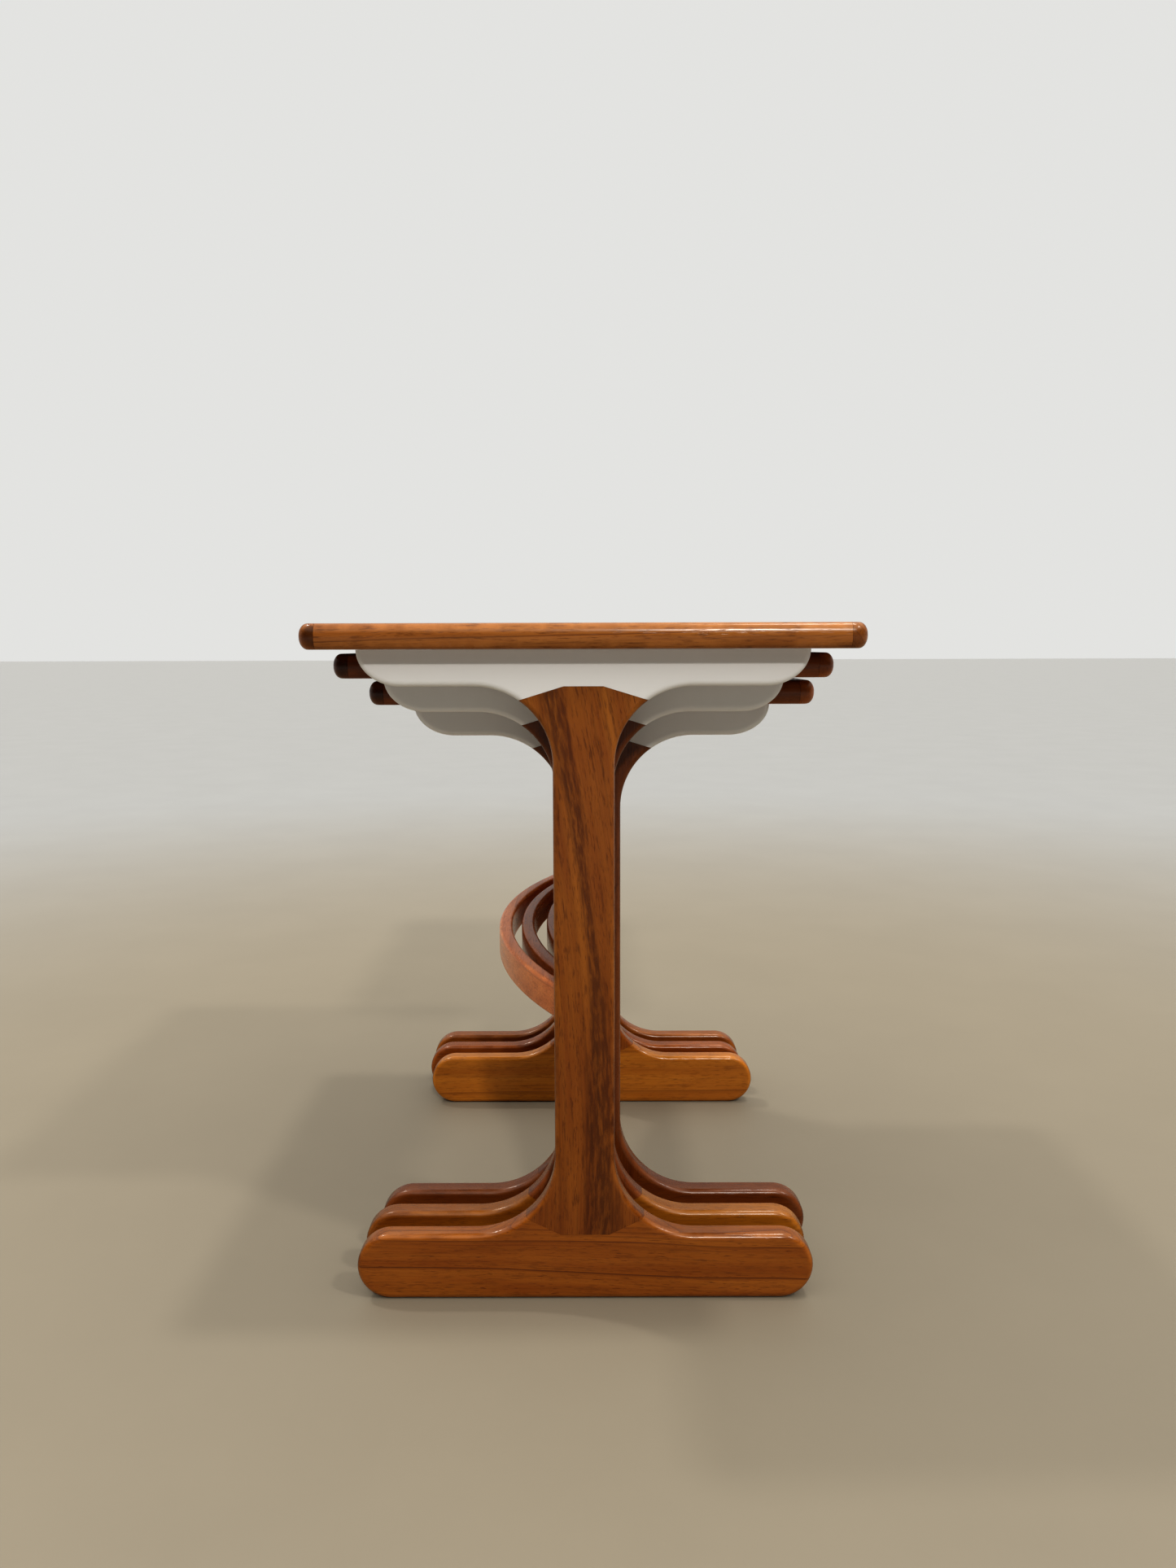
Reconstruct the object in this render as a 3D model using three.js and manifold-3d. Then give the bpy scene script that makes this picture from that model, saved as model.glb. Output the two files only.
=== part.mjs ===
// A nest of three teak side tables: a large, a medium and a small table that slide into each other.
// Millimetres, +Z up. X runs along the tables, -Y is the front, where the smaller tables slide out.
// The origin is on the floor, under the middle of the large table.
import * as THREE from "three";
import { mergeVertices } from "three/addons/utils/BufferGeometryUtils.js";
import Module from "manifold-3d";

const wasm = await Module();
wasm.setup();

// ---------------------------------------------------------------- driving dimensions

const GLUE_LINE = 0.2; // gap kept between pieces that are glued face to face
const FIT_GAP = 0.3; // gap round a piece that sits in a pocket

// Each table: the top's length and width, the height of its surface, how far the top overhangs the end
// frames, its bearers' length and height, how far its stretcher bows out behind the middle, and how far
// the table stands forward of the large one.
const LARGE = { name: "large", length: 512, width: 392, height: 500, overhang: 20 };
const MEDIUM = { name: "medium", length: 424, width: 364, height: 479, overhang: 12 };
const SMALL = { name: "small", length: 352, width: 338, height: 458, overhang: 12 };
Object.assign(LARGE, { bearer: 320, bearerHeight: 26, bow: 77.5, frontOffset: 0 });
Object.assign(MEDIUM, { bearer: 294, bearerHeight: 25, bow: 57.5, frontOffset: 0 });
Object.assign(SMALL, { bearer: 272, bearerHeight: 24, bow: 41, frontOffset: 6 });

const TOP = 18; // thickness of a table top
const EDGE_DEPTH = 6; // how far the top's rounded edge runs in from its widest line
const EDGE_FLAT = 1; // flat left in the middle of the rounded edge
const CORNER = 10; // plan radius of the top's corners
const LIPPING = 12; // width of the solid lipping round the panel

const BOARD = 18; // thickness of the end frames
const ROUND_OVER = 4; // rounding of the end frames' edges
const FOOT_LENGTH = 340;
const FOOT_HEIGHT = 50;
const POST_WIDTH = 44;
const BEARER_CORNER = 31; // length of the bearer's curved lower corner
const BEARER_FILLET = 56; // radius where the post runs into the bearer
const FOOT_FILLET = 60; // radius where the post runs into the foot

// The joints at the post's ends are flat in the middle and turn to meet the fillets squarely.
const FOOT_JOINT = { height: 50.5, flat: 18, slope: 0.5 };
const BEARER_JOINT = { flat: 14, slope: -0.31 };

// Every stretcher is bent on the same former, and its ends are let into the posts' inner rear corners.
const STRETCHER = { radius: 485, thickness: 11.5, bottom: 212.5, height: 25.5, letIn: 13, rounding: 3 };
const TENON = { thickness: 8, width: 26, inPost: 24, inFoot: 24, inBearer: 16 };
const SCREW = { spread: 210, headRadius: 4, headHeight: 3, recess: 8, shankRadius: 2, inTop: 10 };

const TEAK = { color: 0x8a4f2a, roughness: 0.5, metalness: 0 };
const TEAK_LIGHT = { color: 0xa5673a, roughness: 0.5, metalness: 0 };
const BEECH = { color: 0xc9a47a, roughness: 0.7, metalness: 0 };
const STEEL = { color: 0x9a9a98, roughness: 0.35, metalness: 1 };

// ---------------------------------------------------------------- solids

/** A closed geometry as a solid that can be cut and joined. */
function solid(geometry) {
  const bare = geometry.clone();
  bare.deleteAttribute("normal");
  bare.deleteAttribute("uv");
  const merged = mergeVertices(bare, 1e-3);
  const vertProperties = new Float32Array(merged.attributes.position.array);
  const triVerts = new Uint32Array(merged.index.array);
  return new wasm.Manifold(new wasm.Mesh({ numProp: 3, vertProperties, triVerts }));
}

/** A solid as a geometry. */
function geometryOf(shape) {
  const mesh = shape.getMesh();
  const geometry = new THREE.BufferGeometry();
  geometry.setAttribute("position", new THREE.BufferAttribute(mesh.vertProperties, 3));
  geometry.setIndex(new THREE.BufferAttribute(mesh.triVerts, 1));
  geometry.computeVertexNormals();
  return geometry;
}

/** A box from its lowest corner to its highest corner. */
function box(low, high) {
  const size = high.map((value, axis) => value - low[axis]);
  const geometry = new THREE.BoxGeometry(...size);
  geometry.translate(...size.map((value, axis) => low[axis] + value / 2));
  return solid(geometry);
}

/** An upright cylinder between two heights. */
function cylinder(x, y, low, high, radius) {
  const geometry = new THREE.CylinderGeometry(radius, radius, high - low, 8);
  geometry.rotateX(Math.PI / 2);
  geometry.translate(x, y, (low + high) / 2);
  return solid(geometry);
}

/** An outline drawn in Y and Z, carried along X from x. */
function extrudeAcross(outline, x, depth, rounding = 0, segments = 5) {
  const geometry = new THREE.ExtrudeGeometry(outline, {
    depth: depth - 2 * rounding,
    bevelEnabled: rounding > 0,
    bevelThickness: rounding,
    bevelSize: rounding,
    bevelOffset: -rounding,
    bevelSegments: 1,
    curveSegments: segments,
  });
  const along = new THREE.Vector3(1, 0, 0);
  const yAxis = new THREE.Vector3(0, 1, 0);
  const zAxis = new THREE.Vector3(0, 0, 1);
  geometry.applyMatrix4(new THREE.Matrix4().makeBasis(yAxis, zAxis, along));
  geometry.translate(x + rounding, 0, 0);
  return solid(geometry);
}

// ---------------------------------------------------------------- table tops

/** The whole top: a rounded rectangle with a half-elliptical edge. */
function topSlab(table) {
  const x = table.length / 2;
  const y = table.width / 2;
  const outline = new THREE.Shape();
  outline.moveTo(-x + CORNER, -y);
  outline.lineTo(x - CORNER, -y);
  outline.absarc(x - CORNER, -y + CORNER, CORNER, -Math.PI / 2, 0, false);
  outline.lineTo(x, y - CORNER);
  outline.absarc(x - CORNER, y - CORNER, CORNER, 0, Math.PI / 2, false);
  outline.lineTo(-x + CORNER, y);
  outline.absarc(-x + CORNER, y - CORNER, CORNER, Math.PI / 2, Math.PI, false);
  outline.lineTo(-x, -y + CORNER);
  outline.absarc(-x + CORNER, -y + CORNER, CORNER, Math.PI, 1.5 * Math.PI, false);
  const rise = (TOP - EDGE_FLAT) / 2;
  const geometry = new THREE.ExtrudeGeometry(outline, {
    depth: EDGE_FLAT,
    bevelEnabled: true,
    bevelThickness: rise,
    bevelSize: EDGE_DEPTH,
    bevelOffset: -EDGE_DEPTH,
    bevelSegments: 4,
    curveSegments: 3,
  });
  geometry.translate(0, 0, table.height - TOP + rise);
  return solid(geometry);
}

/** The panel and its four lippings, cut from the slab. The long lippings run the full length. */
function topPieces(table) {
  const slab = topSlab(table);
  const far = 400;
  const low = table.height - 2 * TOP;
  const high = table.height + TOP;
  const x = table.length / 2 - LIPPING;
  const y = table.width / 2 - LIPPING;
  const cut = (x0, y0, x1, y1) => slab.intersect(box([x0, y0, low], [x1, y1, high]));
  return {
    top_panel: cut(-x, -y, x, y),
    front_lipping: cut(-far, -far, far, -y - GLUE_LINE),
    rear_lipping: cut(-far, y + GLUE_LINE, far, far),
    left_lipping: cut(-far, -y, -x - GLUE_LINE, y),
    right_lipping: cut(x + GLUE_LINE, -y, far, y),
  };
}

// ---------------------------------------------------------------- end frames

/** The end frame's outline in Y and Z: bearer, post and foot in one line. */
function frameOutline(table) {
  const post = POST_WIDTH / 2;
  const foot = FOOT_LENGTH / 2;
  const tip = FOOT_HEIGHT / 2;
  const under = table.height - TOP - table.bearerHeight;
  const spare = 2 * ROUND_OVER; // the outline runs on above the bearer and is cut off flat
  const outline = new THREE.Shape();
  outline.moveTo(-foot + tip, 0);
  outline.lineTo(foot - tip, 0);
  outline.absarc(foot - tip, tip, tip, -Math.PI / 2, Math.PI / 2, false);
  outline.lineTo(post + FOOT_FILLET, FOOT_HEIGHT);
  outline.absarc(post + FOOT_FILLET, FOOT_HEIGHT + FOOT_FILLET, FOOT_FILLET, -Math.PI / 2, -Math.PI, true);
  outline.lineTo(post, under - BEARER_FILLET);
  outline.absarc(post + BEARER_FILLET, under - BEARER_FILLET, BEARER_FILLET, Math.PI, Math.PI / 2, true);
  const end = table.bearer / 2;
  outline.lineTo(end - BEARER_CORNER, under);
  outline.absellipse(
    end - BEARER_CORNER, under + table.bearerHeight, BEARER_CORNER, table.bearerHeight, -Math.PI / 2, 0, false, 0,
  );
  outline.lineTo(end, table.height - TOP + spare);
  outline.lineTo(-end, table.height - TOP + spare);
  outline.absellipse(
    -end + BEARER_CORNER, under + table.bearerHeight, BEARER_CORNER, table.bearerHeight, Math.PI, 1.5 * Math.PI,
    false, 0,
  );
  outline.lineTo(-post - BEARER_FILLET, under);
  outline.absarc(-post - BEARER_FILLET, under - BEARER_FILLET, BEARER_FILLET, Math.PI / 2, 0, true);
  outline.lineTo(-post, FOOT_HEIGHT + FOOT_FILLET);
  outline.absarc(-post - FOOT_FILLET, FOOT_HEIGHT + FOOT_FILLET, FOOT_FILLET, 0, -Math.PI / 2, true);
  outline.lineTo(-foot + tip, FOOT_HEIGHT);
  outline.absarc(-foot + tip, tip, tip, Math.PI / 2, 1.5 * Math.PI, false);
  return outline;
}

/** The part of the Y-Z plane between two joint lines, each flat in the middle and sloping to the sides. */
function between(lower, upper) {
  const reach = FOOT_LENGTH;
  const line = (joint) => [
    [-reach, joint.height + joint.slope * (reach - joint.flat)],
    [-joint.flat, joint.height],
    [joint.flat, joint.height],
    [reach, joint.height + joint.slope * (reach - joint.flat)],
  ];
  const outline = new THREE.Shape();
  const points = [...line(lower), ...line(upper).reverse()];
  points.forEach(([y, z], index) => (index ? outline.lineTo(y, z) : outline.moveTo(y, z)));
  return outline;
}

/** The arched stretcher: a flat strip bent to one radius, as a band between two arcs carried upwards. */
function stretcherBand(table, grow = 0) {
  const half = table.length / 2 - table.overhang - BOARD;
  const outer = STRETCHER.radius + grow;
  const inner = STRETCHER.radius - STRETCHER.thickness - grow;
  const centre = table.bow - STRETCHER.radius;
  const reach = half + STRETCHER.letIn + grow;
  const outerAngle = Math.acos(reach / outer);
  const innerAngle = Math.acos(reach / inner);
  const outline = new THREE.Shape();
  outline.moveTo(outer * Math.cos(outerAngle), centre + outer * Math.sin(outerAngle));
  outline.absarc(0, centre, outer, outerAngle, Math.PI - outerAngle, false);
  outline.lineTo(inner * Math.cos(Math.PI - innerAngle), centre + inner * Math.sin(innerAngle));
  outline.absarc(0, centre, inner, Math.PI - innerAngle, innerAngle, true);
  const rounding = grow ? 0 : STRETCHER.rounding;
  const geometry = new THREE.ExtrudeGeometry(outline, {
    depth: STRETCHER.height + 2 * grow - 2 * rounding,
    bevelEnabled: rounding > 0,
    bevelThickness: rounding,
    bevelSize: rounding,
    bevelOffset: -rounding,
    bevelSegments: 1,
    curveSegments: 14,
  });
  geometry.translate(0, 0, STRETCHER.bottom - grow + rounding);
  return solid(geometry);
}

/** A loose tenon with round edges, standing across a joint at x. */
function looseTenon(x, low, high, grow = 0) {
  const radius = TENON.thickness / 2 + grow;
  const straight = (TENON.width - TENON.thickness) / 2;
  const outline = new THREE.Shape();
  outline.moveTo(x + radius, -straight);
  outline.lineTo(x + radius, straight);
  outline.absarc(x, straight, radius, 0, Math.PI, false);
  outline.lineTo(x - radius, -straight);
  outline.absarc(x, -straight, radius, Math.PI, 2 * Math.PI, false);
  const geometry = new THREE.ExtrudeGeometry(outline, {
    depth: high - low + 2 * grow,
    bevelEnabled: false,
    curveSegments: 3,
  });
  geometry.translate(0, 0, low - grow);
  return solid(geometry);
}

/** A countersunk wood screw standing in the bearer with its head down, turned from its axis outline. */
function screw(x, y, bottom, top) {
  const { headRadius, headHeight, recess, shankRadius, inTop } = SCREW;
  const base = bottom + recess - headHeight;
  const tip = top + inTop;
  const profile = [
    [0, base],
    [headRadius, base],
    [shankRadius, base + headHeight],
    [shankRadius, tip - 2 * shankRadius],
    [0, tip],
  ].map(([radius, height]) => new THREE.Vector2(radius, height));
  const geometry = new THREE.LatheGeometry(profile, 8);
  geometry.rotateX(Math.PI / 2);
  geometry.translate(x, y, 0);
  return solid(geometry);
}

/** One end frame and its fixings, by piece name. x is the low side of its boards. */
function endFrame(table, x, stretcherPocket) {
  const top = table.height - TOP - GLUE_LINE;
  const under = table.height - TOP - table.bearerHeight;
  const middle = x + BOARD / 2;
  const footJoint = FOOT_JOINT;
  const bearerJoint = { ...BEARER_JOINT, height: under };
  const raised = (joint, by) => ({ ...joint, height: joint.height + by });
  const floorLine = { height: -BOARD, flat: 1, slope: 0 };
  const topLine = { height: top, flat: 1, slope: 0 };
  const whole = extrudeAcross(frameOutline(table), x, BOARD, ROUND_OVER);
  const cut = (lower, upper) => whole.intersect(extrudeAcross(between(lower, upper), x - 1, BOARD + 2));
  const lowTenon = [footJoint.height - TENON.inFoot, footJoint.height + TENON.inPost];
  const highTenon = [bearerJoint.height - TENON.inPost, bearerJoint.height + TENON.inBearer];
  const lowPocket = looseTenon(middle, ...lowTenon, FIT_GAP);
  const highPocket = looseTenon(middle, ...highTenon, FIT_GAP);
  const pieces = {
    foot: cut(floorLine, footJoint).subtract(lowPocket),
    post: cut(raised(footJoint, GLUE_LINE), raised(bearerJoint, -GLUE_LINE))
      .subtract(lowPocket)
      .subtract(highPocket)
      .subtract(stretcherPocket),
    bearer: cut(bearerJoint, topLine).subtract(highPocket),
    foot_tenon: looseTenon(middle, ...lowTenon),
    bearer_tenon: looseTenon(middle, ...highTenon),
  };
  const holes = [];
  for (const [side, y] of [["front", -SCREW.spread / 2], ["rear", SCREW.spread / 2]]) {
    const { headRadius, recess, shankRadius, inTop } = SCREW;
    const recessHole = cylinder(middle, y, under - 1, under + recess, headRadius + FIT_GAP);
    const shankHole = cylinder(middle, y, under, table.height - TOP + inTop + FIT_GAP, shankRadius + FIT_GAP);
    pieces.bearer = pieces.bearer.subtract(recessHole).subtract(shankHole);
    pieces[`${side}_screw`] = screw(middle, y, under, table.height - TOP);
    holes.push(shankHole);
  }
  return { pieces, holes };
}

// ---------------------------------------------------------------- the nest

/** The finish of a piece, by its name. */
function finishOf(name) {
  if (name.includes("screw")) {
    return STEEL;
  }
  if (name.includes("tenon")) {
    return BEECH;
  }
  return name.includes("stretcher") || name.includes("panel") ? TEAK_LIGHT : TEAK;
}

/** One table as a group of named meshes, standing in its place in the nest. */
function table(size) {
  const group = new THREE.Group();
  group.position.y = -size.frontOffset;
  const add = (name, shape) => {
    const mesh = new THREE.Mesh(geometryOf(shape), new THREE.MeshStandardMaterial(finishOf(name)));
    mesh.name = `${size.name}_${name}`;
    group.add(mesh);
  };
  const pocket = stretcherBand(size, FIT_GAP);
  const outer = size.length / 2 - size.overhang;
  const top = topPieces(size);
  for (const [side, x] of [["left", -outer], ["right", outer - BOARD]]) {
    const frame = endFrame(size, x, pocket);
    for (const hole of frame.holes) {
      top.top_panel = top.top_panel.subtract(hole);
    }
    for (const [name, shape] of Object.entries(frame.pieces)) {
      add(`${side}_${name}`, shape);
    }
  }
  for (const [name, shape] of Object.entries(top)) {
    add(name, shape);
  }
  add("stretcher", stretcherBand(size));
  return group;
}

const nest = new THREE.Group();
nest.name = "nest_of_tables";
for (const size of [LARGE, MEDIUM, SMALL]) {
  nest.add(table(size));
}

export default nest;
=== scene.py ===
"""A nest of three teak side tables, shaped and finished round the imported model.

Each table has two end frames (foot, post and bearer), a lipped top and a bowed stretcher. Every wooden
piece is a loft worked out with numpy and dressed in solid teak. Metres, +Z up, X along the tables.
"""

import logging
import math
from dataclasses import dataclass, field
from enum import Enum
from typing import Optional, Sequence, Union

import bmesh
import bpy
import numpy as np
from mathutils import Euler, Matrix, Vector


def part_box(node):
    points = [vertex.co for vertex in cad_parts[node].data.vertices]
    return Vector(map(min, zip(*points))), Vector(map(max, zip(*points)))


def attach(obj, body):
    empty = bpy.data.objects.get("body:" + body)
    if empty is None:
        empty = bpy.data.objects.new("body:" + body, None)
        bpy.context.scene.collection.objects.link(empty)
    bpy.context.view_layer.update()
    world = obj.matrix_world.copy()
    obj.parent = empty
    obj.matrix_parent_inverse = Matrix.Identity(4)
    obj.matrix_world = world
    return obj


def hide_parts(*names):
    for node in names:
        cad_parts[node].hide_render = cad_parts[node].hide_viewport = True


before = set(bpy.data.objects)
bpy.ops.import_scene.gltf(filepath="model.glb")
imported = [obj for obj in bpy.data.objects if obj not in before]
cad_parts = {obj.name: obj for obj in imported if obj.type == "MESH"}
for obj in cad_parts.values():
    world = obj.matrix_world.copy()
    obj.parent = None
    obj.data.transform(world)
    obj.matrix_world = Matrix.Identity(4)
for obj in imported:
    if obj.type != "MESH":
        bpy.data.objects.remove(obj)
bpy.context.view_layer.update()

MM = 0.001
WELD = 0.001 * MM  # points nearer than this are one point
HARD_EDGE = 38.0  # degrees between two faces that meet in a hard edge
LOG = logging.getLogger("nest_of_tables")

Colour = tuple[float, float, float]
Value = Union[float, int, Sequence[float], bpy.types.NodeSocket]


# ---------------------------------------------------------------- meshes


def turned_outward(rings: np.ndarray) -> bool:
    """Tell whether a loft's faces point out of it.

    The signed volume is the sum of the tetrahedra from the origin to every triangle of the skin, with
    each end closed by a fan from its middle. It is positive when the faces point outwards.

    Args:
        rings: Closed rings of points, as an array of rings by points by three.

    Returns:
        True when the signed volume is positive.
    """
    turned = np.roll(rings, -1, axis=1)
    low, low_next, high, high_next = rings[:-1], turned[:-1], rings[1:], turned[1:]
    sides = (low * np.cross(low_next, high_next)).sum() + (low * np.cross(high_next, high)).sum()
    first, last = rings[0], rings[-1]
    high_end = (last.mean(0) * np.cross(last, turned[-1])).sum()
    low_end = (first.mean(0) * np.cross(first, turned[0])).sum()
    return bool(sides + high_end - low_end > 0)


def weld(mesh: bpy.types.Mesh, reach: float) -> None:
    """Join points that lie together, so that no face is left without area.

    Args:
        mesh: The mesh to clean.
        reach: How close two points have to be.
    """
    skin = bmesh.new()
    skin.from_mesh(mesh)
    bmesh.ops.remove_doubles(skin, verts=skin.verts, dist=reach)
    skin.to_mesh(mesh)
    skin.free()
    mesh.update()


def loft(name: str, rings: np.ndarray, arris: np.ndarray) -> bpy.types.Object:
    """Skin a stack of closed rings into one closed solid.

    Point j of ring i is joined to point j + 1 of the same ring and to point j of ring i + 1, and the
    first and last rings are closed by flat faces. Points where two rings touch are welded into one.

    Args:
        name: The piece's name.
        rings: Rings by points by three, in metres.
        arris: How rounded the surface is at each point, from 0 on a flat to 1 on an edge's crest.

    Returns:
        The new object, at the origin, with the point attribute "arris".
    """
    if not turned_outward(rings):
        rings, arris = rings[::-1], arris[::-1]
    count, points = rings.shape[:2]
    index = np.arange(count * points).reshape(count, points)
    ahead = np.roll(index, -1, axis=1)
    quads = np.stack([index[:-1], ahead[:-1], ahead[1:], index[1:]], axis=-1).reshape(-1, 4)
    faces = quads.tolist() + [index[0, ::-1].tolist(), index[-1].tolist()]
    mesh = bpy.data.meshes.new(name)
    mesh.from_pydata(rings.reshape(-1, 3).tolist(), [], faces)
    mesh.polygons.foreach_set("use_smooth", np.ones(len(faces), dtype=bool))
    layer = mesh.attributes.new("arris", "FLOAT", "POINT")
    layer.data.foreach_set("value", arris.astype(np.float32).ravel())
    weld(mesh, WELD)
    mesh.set_sharp_from_angle(angle=math.radians(HARD_EDGE))
    piece = bpy.data.objects.new(name, mesh)
    bpy.context.scene.collection.objects.link(piece)
    return piece


def arc(centre: tuple, radius: np.ndarray, start: Value, stop: Value, count: int) -> np.ndarray:
    """Points on circles: the centre plus radius times (cos, sin), with even steps of angle.

    Args:
        centre: The circles' shared centre.
        radius: One radius per ring.
        start: First angle in radians, one for all or one per ring.
        stop: Last angle, likewise.
        count: Points on each arc.

    Returns:
        Rings by count by two.
    """
    share = np.linspace(0.0, 1.0, count)[None, :]
    first = np.broadcast_to(np.asarray(start, float), radius.shape)[:, None]
    last = np.broadcast_to(np.asarray(stop, float), radius.shape)[:, None]
    angle = first + (last - first) * share
    spread = radius[:, None]
    return np.stack([centre[0] + spread * np.cos(angle), centre[1] + spread * np.sin(angle)], axis=-1)


def spot(across: Value, up: Value, rings: int) -> np.ndarray:
    """One point in every ring, as rings by one by two."""
    pair = np.broadcast_arrays(np.asarray(across, float), np.asarray(up, float), np.zeros(rings))[:2]
    return np.stack(pair, axis=-1)[:, None, :]


def both_sides(half: np.ndarray) -> np.ndarray:
    """Close a right-hand half outline with its own mirror image, read backwards."""
    return np.concatenate([half, half[:, ::-1] * np.array([-1.0, 1.0])], axis=1)


@dataclass(frozen=True)
class RoundOver:
    """The quarter-round that a router leaves along both faces of a board."""

    radius: float = 4.2 * MM
    steps: int = 7
    support: float = 0.7 * MM

    def rings(self, thickness: float) -> tuple[np.ndarray, np.ndarray, np.ndarray]:
        """Lay out rings through a board's thickness.

        At angle t of the quarter-round the outline draws in by radius times (1 - sin t) and lies radius
        times (1 - cos t) below the face. A support ring on each face keeps the flat truly flat.

        Args:
            thickness: The board's thickness.

        Returns:
            Depth below the first face, inset of the outline, and the arris weight sin(2t), per ring.
        """
        turn = np.linspace(0.0, math.pi / 2, self.steps + 1)
        depth = np.concatenate([[0.0], self.radius * (1 - np.cos(turn))])
        inset = np.concatenate([[self.radius + self.support], self.radius * (1 - np.sin(turn))])
        weight = np.concatenate([[0.0], np.sin(2 * turn)])
        return (
            np.concatenate([depth, thickness - depth[::-1]]),
            np.concatenate([inset, inset[::-1]]),
            np.concatenate([weight, weight[::-1]]),
        )


# ---------------------------------------------------------------- shader trees


class Tree:
    """A node tree being filled in, one node at a time."""

    def __init__(self, tree: bpy.types.NodeTree) -> None:
        """Keep the tree that the nodes go into."""
        self.tree = tree

    def put(self, socket: bpy.types.NodeSocket, value: Value) -> None:
        """Join a socket to another, or set it to a constant."""
        if isinstance(value, bpy.types.NodeSocket):
            self.tree.links.new(value, socket)
        else:
            socket.default_value = value

    def add(self, kind: str, inputs: Optional[dict] = None, **settings: object) -> bpy.types.Node:
        """Add a node.

        Args:
            kind: The node's type after "ShaderNode".
            inputs: Constants or sockets by input name or number.
            settings: The node's own properties.

        Returns:
            The new node.
        """
        node = self.tree.nodes.new("ShaderNode" + kind)
        for key, value in settings.items():
            setattr(node, key, value)
        for key, value in (inputs or {}).items():
            self.put(node.inputs[key], value)
        return node

    def maths(self, operation: str, *values: Value, clamp: bool = False) -> bpy.types.NodeSocket:
        """One sum on plain numbers: the operation's name, then what it works on."""
        return self.add("Math", dict(enumerate(values)), operation=operation, use_clamp=clamp).outputs[0]

    def times(self, *values: Value, clamp: bool = False) -> bpy.types.NodeSocket:
        """The product of two numbers."""
        return self.maths("MULTIPLY", *values, clamp=clamp)

    def plus(self, *values: Value, clamp: bool = False) -> bpy.types.NodeSocket:
        """The sum of two numbers."""
        return self.maths("ADD", *values, clamp=clamp)

    def minus(self, *values: Value) -> bpy.types.NodeSocket:
        """The first number less the second."""
        return self.maths("SUBTRACT", *values)

    def swing(self, value: Value, size: float, middle: Value = 0.0) -> bpy.types.NodeSocket:
        """Turn a value from 0 to 1 into a swing of the given size about a middle."""
        return self.maths("MULTIPLY_ADD", self.minus(value, 0.5), size, middle)

    def grey(self, value: Value) -> bpy.types.NodeSocket:
        """A number as a grey."""
        return self.add("CombineColor", {0: value, 1: value, 2: value}).outputs[0]

    def vector(self, operation: str, *values: Value) -> bpy.types.NodeSocket:
        """One sum on vectors."""
        return self.add("VectorMath", dict(enumerate(values)), operation=operation).outputs[0]

    def noise(self, place: Value, detail: float = 2.0, roughness: float = 0.5) -> bpy.types.Node:
        """Smooth noise with features about one unit across at the place given."""
        inputs = {"Vector": place, "Scale": 1.0, "Detail": detail, "Roughness": roughness}
        return self.add("TexNoise", inputs)

    def stretched(
        self, place: Value, scale: tuple, detail: float, roughness: float = 0.5
    ) -> bpy.types.NodeSocket:
        """Noise drawn out by a scale along each axis."""
        return self.noise(self.vector("MULTIPLY", place, scale), detail, roughness).outputs[0]

    def line_noise(self, place: Value, detail: float = 1.0) -> bpy.types.NodeSocket:
        """Smooth noise along a single number."""
        inputs = {"W": place, "Scale": 1.0, "Detail": detail}
        return self.add("TexNoise", inputs, noise_dimensions="1D").outputs[0]

    def remap(self, value: Value, low: Value, high: Value, to: tuple = (0.0, 1.0)) -> bpy.types.NodeSocket:
        """Ease a value from one range to another with a smooth start and end."""
        inputs = {"Value": value, "From Min": low, "From Max": high, "To Min": to[0], "To Max": to[1]}
        return self.add("MapRange", inputs, interpolation_type="SMOOTHSTEP").outputs[0]

    def mix(self, share: Value, first: Value, second: Value, blend: str = "MIX") -> bpy.types.NodeSocket:
        """Blend two colours by a share from 0 to 1."""
        inputs = {0: share, 6: first, 7: second}
        return self.add("Mix", inputs, data_type="RGBA", blend_type=blend).outputs[2]


class Kind(Enum):
    """What a group's socket carries."""

    NUMBER = "NodeSocketFloat"
    PLACE = "NodeSocketVector"
    COLOUR = "NodeSocketColor"


class Effect:
    """A shader node group with named sockets, built once and placed in many materials."""

    name = "effect"
    takes: dict[str, tuple[Kind, Value]] = {}
    gives: dict[str, Kind] = {}
    built: dict[str, bpy.types.NodeTree] = {}

    def __init__(self) -> None:
        """Open the group and its sockets, and let the subclass fill it."""
        group = bpy.data.node_groups.new(self.name, "ShaderNodeTree")
        for title, (kind, start) in self.takes.items():
            socket = group.interface.new_socket(title, in_out="INPUT", socket_type=kind.value)
            socket.default_value = start
        for title, kind in self.gives.items():
            group.interface.new_socket(title, in_out="OUTPUT", socket_type=kind.value)
        tree = Tree(group)
        source = group.nodes.new("NodeGroupInput")
        results = self.fill(tree, {socket.name: socket for socket in source.outputs if socket.name})
        target = group.nodes.new("NodeGroupOutput")
        for title, value in results.items():
            tree.put(target.inputs[title], value)
        Effect.built[self.name] = group

    def fill(self, tree: Tree, given: dict) -> dict:
        """Build the effect.

        Args:
            tree: The group's tree.
            given: The group's inputs by name.

        Returns:
            What each output carries, by name.
        """
        raise NotImplementedError

    @classmethod
    def place(cls, tree: Tree, inputs: dict) -> bpy.types.Node:
        """Put the effect into a material's tree with that material's own values.

        Args:
            tree: The material's tree.
            inputs: Constants or sockets by the group's input names.

        Returns:
            The group node.
        """
        if cls.name not in Effect.built:
            cls()
        return tree.add("Group", inputs, node_tree=Effect.built[cls.name])


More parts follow.
